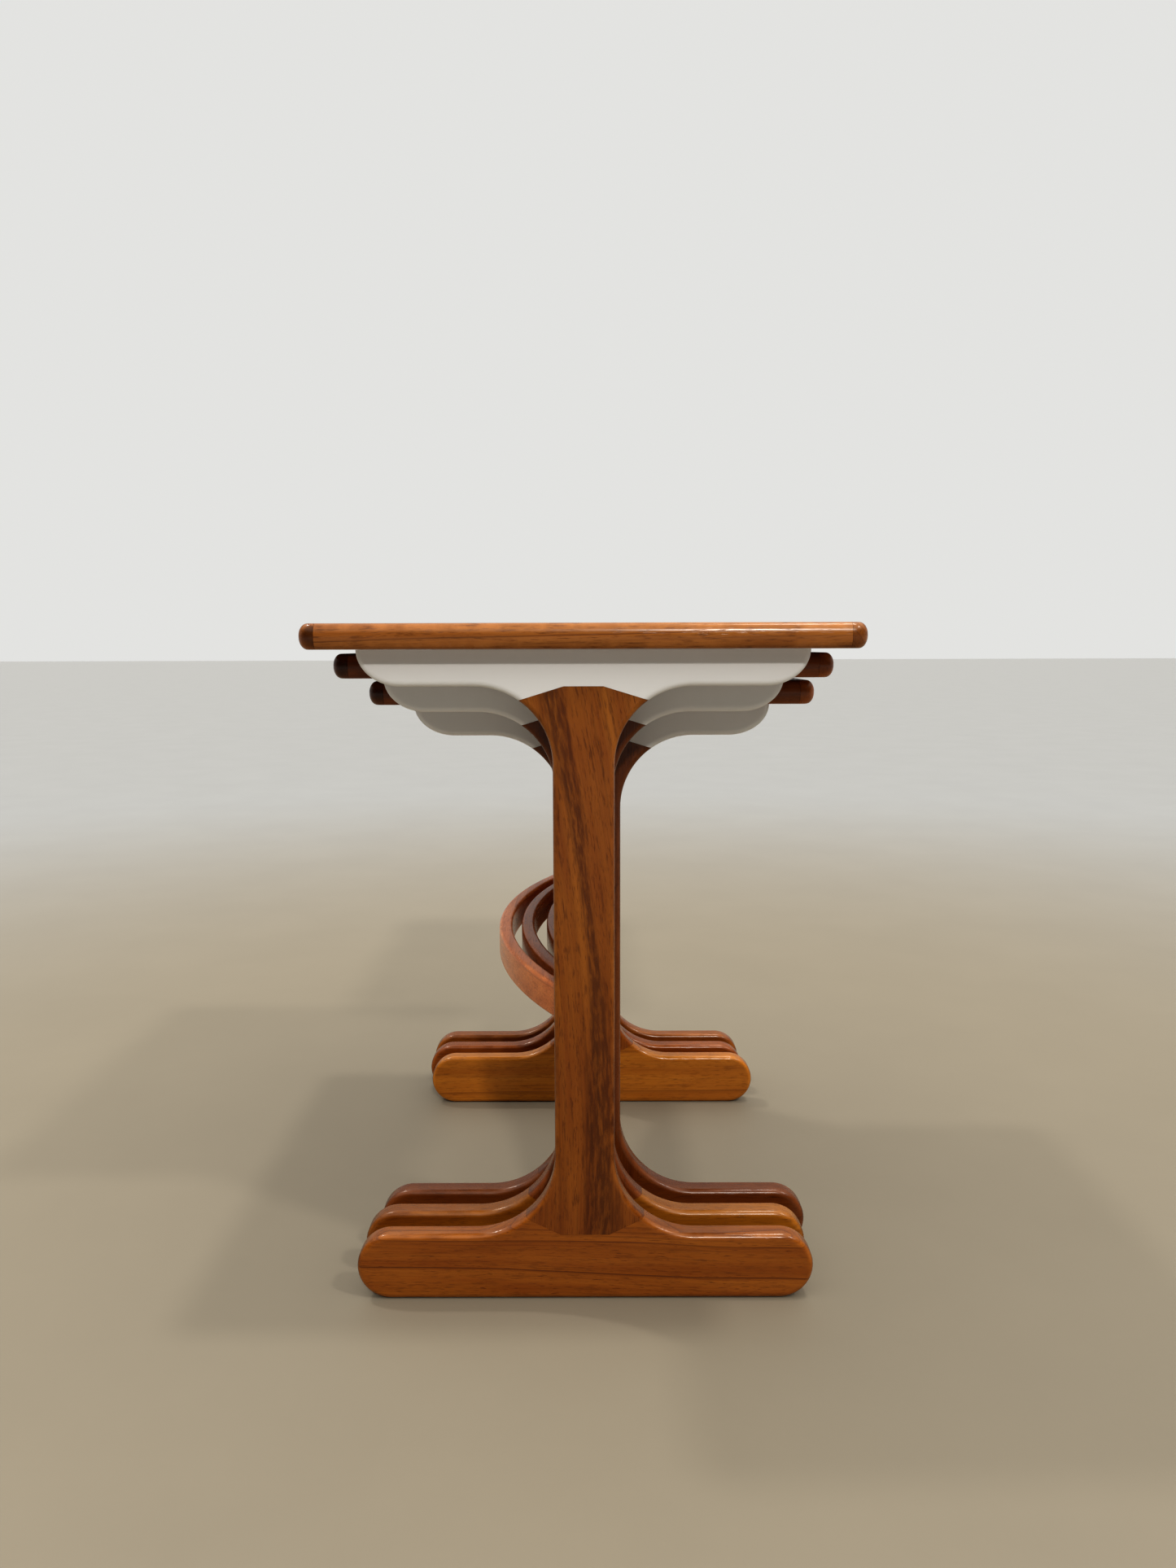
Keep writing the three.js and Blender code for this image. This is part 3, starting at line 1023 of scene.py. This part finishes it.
@dataclass(frozen=True)
class Top:
    """A table top: a veneered panel in solid lippings with a half-elliptical edge."""

    table: str
    length: float
    width: float
    height: float
    forward: float
    thickness: float = 18 * MM
    edge_depth: float = 6 * MM
    edge_flat: float = 1 * MM
    corner: float = 10 * MM
    lipping: float = 12 * MM
    gap: float = 0.10 * MM
    steps: int = 10

    def rings(self) -> tuple[np.ndarray, np.ndarray, np.ndarray]:
        """Lay out rings through the thickness.

        At angle t from -90 to 90 degrees the edge draws in by edge_depth times (1 - cos t) and lies at
        the middle height plus half the curved thickness times sin t, with a short flat between.

        Returns:
            Height, inset and arris weight, per ring.
        """
        turn = np.linspace(-math.pi / 2, 0.0, self.steps + 1)
        rise = (self.thickness - self.edge_flat) / 2
        low = self.height - self.thickness + rise * (1 + np.sin(turn))
        inset = self.edge_depth * (1 - np.cos(turn))
        low = np.concatenate([low[:1], low])
        inset = np.concatenate([inset[:1] + 0.6 * MM, inset])
        weight = np.concatenate([[0.0], np.sin(-2 * turn)])
        middle = 2 * self.height - self.thickness
        return (
            np.concatenate([low, middle - low[::-1]]),
            np.concatenate([inset, inset[::-1]]),
            np.concatenate([weight, weight[::-1]]),
        )

    def long_outline(self, inset: np.ndarray) -> np.ndarray:
        """Front lipping: a bar with both outer corners rounded.

        Args:
            inset: How far each ring is drawn in from the full outline, in metres.

        Returns:
            The closed outline of every ring, as (rings, points, 2).
        """
        x, y = self.length / 2, self.width / 2
        centre = (x - self.corner, -(y - self.corner))
        corner = arc(centre, self.corner - inset, -math.pi / 2, 0.0, 12)
        inner = spot(x - inset, -(y - self.lipping) - self.gap, len(inset))
        return both_sides(np.concatenate([corner, inner], axis=1))

    def short_outline(self, inset: np.ndarray) -> np.ndarray:
        """Left lipping: a bar between the long ones, shaped on its outer side.

        Args:
            inset: How far each ring is drawn in from the full outline, in metres.

        Returns:
            The closed outline of every ring, as (rings, points, 2).
        """
        x, y = self.length / 2, self.width / 2 - self.lipping
        rings = len(inset)
        across = np.linspace(-y + self.gap / 2, y - self.gap / 2, 12)
        outer = np.concatenate([spot(-x + inset, -v, rings) for v in across], axis=1)
        inner = np.concatenate([spot(-x + self.lipping - self.gap, v, rings) for v in across], axis=1)
        return np.concatenate([outer, inner], axis=1)

    def panel_outline(self, inset: np.ndarray) -> np.ndarray:
        """The panel: a rectangle with a hair of easing where it meets the lippings.

        Args:
            inset: How far each ring is drawn in from the full outline, in metres.

        Returns:
            The closed outline of every ring, as (rings, points, 2).
        """
        x, y = self.length / 2 - self.lipping - self.gap, self.width / 2 - self.lipping - self.gap
        ease = np.where(inset >= self.edge_depth, 0.08 * MM, 0.0)
        rings = len(inset)
        corners = [spot(x - ease, -y + ease, rings), spot(x - ease, y - ease, rings)]
        return both_sides(np.concatenate(corners, axis=1))

    def build(self, part: str, finish: Teak) -> bpy.types.Object:
        """Loft one piece of the top.

        Args:
            part: "top_panel" or the lipping's name.
            finish: The piece's wood.

        Returns:
            The finished piece.
        """
        height, inset, weight = self.rings()
        if part == "top_panel":
            outline = self.panel_outline(inset)
        elif part.startswith(("front", "rear")):
            outline = self.long_outline(inset) * np.array([1.0, -1.0 if part.startswith("rear") else 1.0])
        else:
            outline = self.short_outline(inset) * np.array([-1.0 if part.startswith("right") else 1.0, 1.0])
        z = np.broadcast_to(height[:, None], outline.shape[:2])
        rings = np.stack([outline[..., 0], outline[..., 1] - self.forward, z], axis=-1)
        share = 0.0 if part == "top_panel" else 1.0
        arris = np.broadcast_to(share * weight[:, None], outline.shape[:2])
        node = f"{self.table}_{part}"
        piece = loft(f"teak_{node}", rings, arris)
        return place_piece(piece, node, f"{self.table}_table", finish)


@dataclass(frozen=True)
class Stretcher:
    """The bowed rail between the posts: a strip bent on one former, with rounded edges."""

    table: str
    reach: float
    bow: float
    forward: float
    bottom: float
    radius: float = 485 * MM
    thickness: float = 11.5 * MM
    height: float = 25.5 * MM
    rounding: float = 3.2 * MM
    stations: int = 72
    corner_steps: int = 7

    def section(self) -> tuple[np.ndarray, np.ndarray, np.ndarray]:
        """A rounded rectangle: four quarter-circles about its inner corners.

        Returns:
            Distance from the strip's middle, height above its bottom, and arris weight, per point.
        """
        turn = np.linspace(0.0, math.pi / 2, self.corner_steps)
        quarters = np.arange(4)[:, None] * (math.pi / 2) + turn[None, :]
        half_t, half_h = self.thickness / 2 - self.rounding, self.height / 2 - self.rounding
        side = np.array([1, -1, -1, 1])[:, None] * half_t + self.rounding * np.cos(quarters)
        up = np.array([1, 1, -1, -1])[:, None] * half_h + self.rounding * np.sin(quarters)
        weight = np.broadcast_to(np.sin(2 * turn), quarters.shape)
        return side.ravel(), up.ravel() + self.height / 2, weight.ravel()

    def build(self, finish: Teak) -> bpy.types.Object:
        """Carry the section along the arc: centre plus (radius + side) times (cos, sin) of the angle.

        Args:
            finish: The wood it is cut from.

        Returns:
            The placed stretcher.
        """
        side, up, weight = self.section()
        middle = self.radius - self.thickness / 2
        most = math.asin(self.reach / self.radius)
        angle = np.linspace(-most, most, self.stations)[:, None]
        spread = middle + side[None, :]
        x = spread * np.sin(angle)
        y = self.bow - self.radius + spread * np.cos(angle) - self.forward
        z = np.broadcast_to(self.bottom + up[None, :], x.shape)
        arris = np.broadcast_to(weight[None, :], x.shape)
        node = f"{self.table}_stretcher"
        piece = loft(f"teak_{node}", np.stack([x, y, z], axis=-1), arris)
        return place_piece(piece, node, f"{self.table}_table", finish)


@dataclass(frozen=True)
class Table:
    """One table of the nest, with the wood chosen for each of its boards."""

    name: str
    bearer_length: float
    bearer_height: float
    bow: float
    seed: int
    chosen: dict[str, Teak] = field(default_factory=dict)

    def box(self, part: str) -> tuple[Vector, Vector]:
        """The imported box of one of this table's nodes."""
        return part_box(f"{self.name}_{part}")

    def wood(self, part: str, number: int) -> Teak:
        """Choose a board for a part.

        Args:
            part: The part's name.
            number: Its place in the order of making, which settles its random character.

        Returns:
            The chosen board, or one drawn from a fixed seed.
        """
        if part in self.chosen:
            return self.chosen[part]
        draw = np.random.default_rng(1000 * self.seed + number)
        low, high = self.box(part)
        middle = (low + high) / 2
        grain = self.grain_of(part)
        _, second, third = (middle[axis] for axis in grain.value)
        lift, aside = draw.uniform(0.05, 0.11), draw.uniform(-0.05, 0.05)
        tone = Tone().shifted(draw.uniform(0.86, 1.08), draw.uniform(-0.04, 0.10))
        return Teak(
            grain,
            tone,
            pith=(second + lift, third + aside),
            lean=draw.uniform(-2.5, 2.5),
            dip=draw.uniform(-1.5, 1.5),
            ring=draw.uniform(4.5, 8.0) * MM,
            contrast=draw.uniform(0.35, 0.65),
            wander=draw.uniform(4.0, 8.0) * MM,
            shift=draw.uniform(-3.0, 3.0),
            roughness=draw.uniform(0.19, 0.25),
        )

    @staticmethod
    def grain_of(part: str) -> Grain:
        """Posts stand, feet, bearers and end lippings run across, the rest runs lengthwise.

        Args:
            part: The name of the piece within its table.

        Returns:
            The way its grain runs.
        """
        if part.endswith("post"):
            return Grain.UPRIGHT
        if part.endswith(("foot", "bearer")) or part in ("left_lipping", "right_lipping"):
            return Grain.CROSSWISE
        return Grain.LENGTHWISE

    def build(self) -> None:
        """Build every wooden piece of the table."""
        rear_low, rear_high = self.box("rear_lipping")
        front_low, _ = self.box("front_lipping")
        width, forward = rear_high.y - front_low.y, -(rear_high.y + front_low.y) / 2
        top = Top(self.name, rear_high.x - rear_low.x, width, rear_high.z, forward)
        parts = ["top_panel", "front_lipping", "rear_lipping", "left_lipping", "right_lipping"]
        for number, part in enumerate(parts):
            top.build(part, self.wood(part, number))
        for side_number, side in enumerate(("left", "right")):
            under_top = rear_high.z - top.thickness
            end = EndFrame(self.name, side, under_top, self.bearer_length, self.bearer_height, forward)
            for number, part in enumerate(("foot", "post", "bearer")):
                end.build(part, self.wood(f"{side}_{part}", 10 + 5 * side_number + number))
        low, high = self.box("stretcher")
        stretcher = Stretcher(self.name, high.x, self.bow, forward, low.z)
        stretcher.build(self.wood("stretcher", 30))


def fixings(nodes: dict[str, bpy.types.Object]) -> None:
    """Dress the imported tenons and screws, which keep their own shapes.

    Args:
        nodes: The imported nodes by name.
    """
    beech = Beech().material("beech_tenons")
    steel = ScrewSteel().material("plated_screws")
    for name, node in sorted(nodes.items()):
        if "tenon" in name or "screw" in name:
            node.data.materials.clear()
            node.data.materials.append(beech if "tenon" in name else steel)
            LOG.info("%s keeps its packed shape", name)


# ---------------------------------------------------------------- the wood chosen for each table

HONEY = Tone(pale=(0.330, 0.122, 0.017), warm=(0.225, 0.068, 0.008), dark=(0.074, 0.017, 0.003))
GOLD = Tone(pale=(0.460, 0.180, 0.022), warm=(0.340, 0.115, 0.012), dark=(0.110, 0.028, 0.004))
AMBER = Tone(pale=(0.340, 0.136, 0.034), warm=(0.232, 0.080, 0.017), dark=(0.074, 0.018, 0.004))
RUSSET = Tone(pale=(0.225, 0.070, 0.014), warm=(0.150, 0.038, 0.006), dark=(0.050, 0.012, 0.003))
UMBER = Tone(pale=(0.150, 0.045, 0.012), warm=(0.095, 0.025, 0.006), dark=(0.036, 0.009, 0.003))
ROSE = Tone(pale=(0.470, 0.162, 0.044), warm=(0.340, 0.100, 0.024), dark=(0.130, 0.030, 0.007))

LARGE_WOOD = {
    "left_post": Teak(
        Grain.UPRIGHT, HONEY.shifted(0.94, 0.02), pith=(0.075, -0.300), lean=-4.9, ring=5.0 * MM,
        contrast=0.40, wander=3.5 * MM, sweep=0.255, sweep_middle=0.257, streak_centre=-0.028,
        streak_width=10.0 * MM, streak=0.80, streak_waist=0.316, painted_side_shade=-0.8, flecks=0.55, pores=0.65,
    ),
    "left_bearer": Teak(
        Grain.CROSSWISE, RUSSET.shifted(1.12, -0.03), pith=(0.36, -0.20), lean=21.0, ring=5.0 * MM,
        contrast=1.25, wander=4.0 * MM, painted_side_shade=1.0,
    ),
    "left_foot": Teak(
        Grain.CROSSWISE, HONEY.shifted(0.98, 0.04), pith=(-0.075, -0.18), lean=-2.0, ring=4.4 * MM,
        contrast=1.2, wander=15.0 * MM, flecks=0.30,
    ),
    "left_lipping": Teak(
        Grain.CROSSWISE, AMBER.shifted(1.16, -0.04), pith=(0.52, -0.22), lean=1.0, ring=3.5 * MM,
        contrast=1.0, wander=3.0 * MM, roughness=0.20, painted_side_shade=0.7, flecks=0.55, rub_and_gleam=0.45,
    ),
    "front_lipping": Teak(Grain.LENGTHWISE, AMBER, pith=(0.56, -0.12), ring=4.0 * MM, end=0.22),
    "rear_lipping": Teak(Grain.LENGTHWISE, HONEY, pith=(0.56, 0.12), ring=4.0 * MM, end=0.80),
    "stretcher": Teak(Grain.LENGTHWISE, ROSE.shifted(1.5), pith=(0.03, 0.33), ring=5.0 * MM, contrast=0.45),
}
MEDIUM_WOOD = {
    "left_lipping": Teak(
        Grain.CROSSWISE, UMBER.shifted(1.6, -0.05), pith=(0.50, -0.20), lean=-1.0, ring=4.0 * MM,
        contrast=0.6, painted_side_shade=1.2, roughness=0.26,
    ),
    "front_lipping": Teak(
        Grain.LENGTHWISE, RUSSET.shifted(1.8, -0.05), pith=(0.55, -0.10), ring=4.0 * MM, end=0.30,
    ),
    "rear_lipping": Teak(Grain.LENGTHWISE, UMBER, pith=(0.55, 0.10), ring=4.0 * MM),
    "left_foot": Teak(
        Grain.CROSSWISE, GOLD.shifted(0.66, 0.02), pith=(-0.08, -0.12), lean=1.5, ring=7.0 * MM,
        contrast=0.5, roughness=0.25, painted_side_shade=1.6,
    ),
    "left_post": Teak(Grain.UPRIGHT, RUSSET, pith=(-0.05, -0.15), lean=1.0, contrast=0.5, roughness=0.26),
    "left_bearer": Teak(Grain.CROSSWISE, UMBER.shifted(1.3), pith=(0.55, -0.10), lean=9.0, contrast=0.6),
    "stretcher": Teak(Grain.LENGTHWISE, ROSE.shifted(0.85, 0.1), pith=(0.02, 0.34), ring=4.5 * MM),
}
SMALL_WOOD = {
    "left_lipping": Teak(
        Grain.CROSSWISE, UMBER.shifted(1.6, -0.05), pith=(0.48, -0.20), lean=1.5, ring=4.5 * MM,
        contrast=0.6, painted_side_shade=1.2, roughness=0.26,
    ),
    "front_lipping": Teak(
        Grain.LENGTHWISE, RUSSET.shifted(1.8, -0.05), pith=(0.53, -0.10), ring=4.0 * MM, end=0.30,
    ),
    "rear_lipping": Teak(Grain.LENGTHWISE, UMBER, pith=(0.53, 0.10), ring=4.0 * MM),
    "left_foot": Teak(
        Grain.CROSSWISE, RUSSET.shifted(0.80), pith=(-0.06, -0.09), lean=-1.0, ring=6.0 * MM, contrast=0.6,
        roughness=0.25, dust=0.02,
    ),
    "left_post": Teak(Grain.UPRIGHT, RUSSET.shifted(0.85), pith=(0.06, -0.10), contrast=0.5, roughness=0.26),
    "left_bearer": Teak(Grain.CROSSWISE, UMBER.shifted(1.3), pith=(0.50, -0.08), lean=-6.0, contrast=0.6),
    "right_foot": Teak(
        Grain.CROSSWISE, GOLD.shifted(1.02), pith=(-0.09, 0.22), lean=0.5, ring=6.5 * MM, contrast=0.6,
    ),
    "stretcher": Teak(Grain.LENGTHWISE, ROSE.shifted(0.80, 0.1), pith=(0.02, 0.35), ring=5.5 * MM),
}


# ---------------------------------------------------------------- studio


@dataclass(frozen=True)
class Camera:
    """The camera's place, aim and lens."""

    place: tuple[float, float, float] = (-1.0659, -0.0035, 0.4842)
    pitch: float = 6.68
    yaw: float = 0.03
    roll: float = -0.16
    lens: float = 27.09

    def build(self) -> None:
        """Make the camera look along +X, tipped down by pitch, with its long side upright."""
        pitch, yaw, roll = (math.radians(a) for a in (self.pitch, self.yaw, self.roll))
        aim = Vector((math.cos(pitch) * math.cos(yaw), math.cos(pitch) * math.sin(yaw), -math.sin(pitch)))
        right = aim.cross(Vector((0, 0, 1))).normalized()
        up = right.cross(aim)
        right, up = right * math.cos(roll) + up * math.sin(roll), up * math.cos(roll) - right * math.sin(roll)
        data = bpy.data.cameras.new("camera")
        data.lens, data.sensor_width, data.sensor_fit = self.lens, 36.0, "AUTO"
        data.clip_start, data.clip_end = 0.01, 100.0
        camera = bpy.data.objects.new("camera", data)
        matrix = Matrix((right, up, -aim)).transposed().to_4x4()
        matrix.translation = Vector(self.place)
        camera.matrix_world = matrix
        bpy.context.scene.collection.objects.link(camera)
        bpy.context.scene.camera = camera


@dataclass(frozen=True)
class Lamp:
    """One distant soft lamp, which lights the floor evenly."""

    name: str
    source: tuple[float, float, float]
    strength: float
    spread: float
    colour: Colour = (1.0, 0.965, 0.91)

    def build(self) -> None:
        """Hang the lamp so that its light comes from its source and casts soft shadows."""
        data = bpy.data.lights.new(self.name, "SUN")
        data.energy, data.color, data.angle = self.strength, self.colour, math.radians(self.spread)
        lamp = bpy.data.objects.new(self.name, data)
        lamp.rotation_euler = (-Vector(self.source)).to_track_quat("-Z", "Y").to_euler()
        bpy.context.scene.collection.objects.link(lamp)


@dataclass(frozen=True)
class Studio:
    """A pale floor, a pale surround and soft light from above."""

    floor_near: Colour = (0.236, 0.209, 0.163)
    floor_far: Colour = (0.305, 0.310, 0.312)
    seen: Colour = (0.56, 0.56, 0.55)
    ahead: Colour = (0.34, 0.34, 0.335)
    behind: Colour = (0.04, 0.04, 0.038)
    above: Colour = (1.12, 1.09, 1.03)
    floor_size: float = 40.0
    floor_roughness: float = 0.6
    floor_gloss: float = 0.3
    near: float = 0.6
    far: float = 3.0
    lamp_spread: float = 4.0
    bank: tuple = (
        ((-0.35, -0.55, 0.75), 0.52),
        ((-0.80, -0.14, 0.54), 0.85),
        ((0.05, -0.20, 0.98), 0.55),
        ((0.30, 0.45, 0.84), 0.50),
    )

    def floor(self) -> None:
        """A plain pale floor, paler towards the distance."""
        mesh = bpy.data.meshes.new("floor")
        corners = np.array([(-1, -1), (1, -1), (1, 1), (-1, 1)], float) * self.floor_size
        mesh.from_pydata([(x, y, 0.0) for x, y in corners.tolist()], [], [(0, 1, 2, 3)])
        floor = bpy.data.objects.new("floor", mesh)
        bpy.context.scene.collection.objects.link(floor)
        material, tree = open_material("pale_floor")
        place = tree.add("TexCoord").outputs["Object"]
        away = tree.add("VectorMath", {0: place}, operation="LENGTH").outputs["Value"]
        distance = tree.remap(away, self.near, self.far)
        colour = tree.mix(distance, with_alpha(self.floor_near), with_alpha(self.floor_far))
        cloud = tree.stretched(place, (5.0, 5.0, 5.0), 5.0, 0.6)
        shade = tree.swing(cloud, 0.10, 1.0)
        grey = tree.grey(shade)
        colour = tree.mix(1.0, colour, grey, "MULTIPLY")
        surface = tree.add("BsdfPrincipled", {
            "Base Color": colour, "Roughness": self.floor_roughness, "Specular IOR Level": self.floor_gloss,
        })
        tree.add("OutputMaterial", {"Surface": surface.outputs[0]})
        mesh.materials.append(material)

    def surround(self) -> None:
        """The world: pale to the eye, and as light pale ahead, dim behind the camera, soft above."""
        world = bpy.data.worlds.new("surround")
        bpy.context.scene.world = world
        world.use_nodes = True
        world.node_tree.nodes.clear()
        tree = Tree(world.node_tree)
        direction = tree.add("TexCoord").outputs["Generated"]
        parts = tree.add("SeparateXYZ", {0: direction}).outputs
        front = tree.remap(parts[0], -0.35, 0.35)
        colour = tree.mix(front, with_alpha(self.behind), with_alpha(self.ahead))
        colour = tree.mix(tree.remap(parts[2], 0.38, 0.70), colour, with_alpha(self.above))
        seen = tree.add("LightPath").outputs["Is Camera Ray"]
        colour = tree.mix(seen, colour, with_alpha(self.seen))
        background = tree.add("Background", {"Color": colour, "Strength": 1.0})
        tree.add("OutputWorld", {"Surface": background.outputs[0]})

    def build(self) -> None:
        """Set out the floor, the surround and the lamps."""
        self.floor()
        self.surround()
        for number, (source, strength) in enumerate(self.bank):
            Lamp(f"lamp_{number}", source, strength, self.lamp_spread).build()
        view = bpy.context.scene.view_settings
        view.view_transform, view.look = "Standard", "High Contrast"


def main() -> None:
    """Build the nest from the largest table to the smallest, then the studio."""
    logging.basicConfig(level=logging.INFO, format="%(name)s: %(message)s")
    tables = (
        Table("large", 320 * MM, 26 * MM, 77.5 * MM, 1, LARGE_WOOD),
        Table("medium", 294 * MM, 25 * MM, 57.5 * MM, 2, MEDIUM_WOOD),
        Table("small", 272 * MM, 24 * MM, 41 * MM, 3, SMALL_WOOD),
    )
    for table in tables:
        table.build()
    fixings(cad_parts)
    Studio().build()
    Camera().build()


if __name__ == "__main__":
    main()
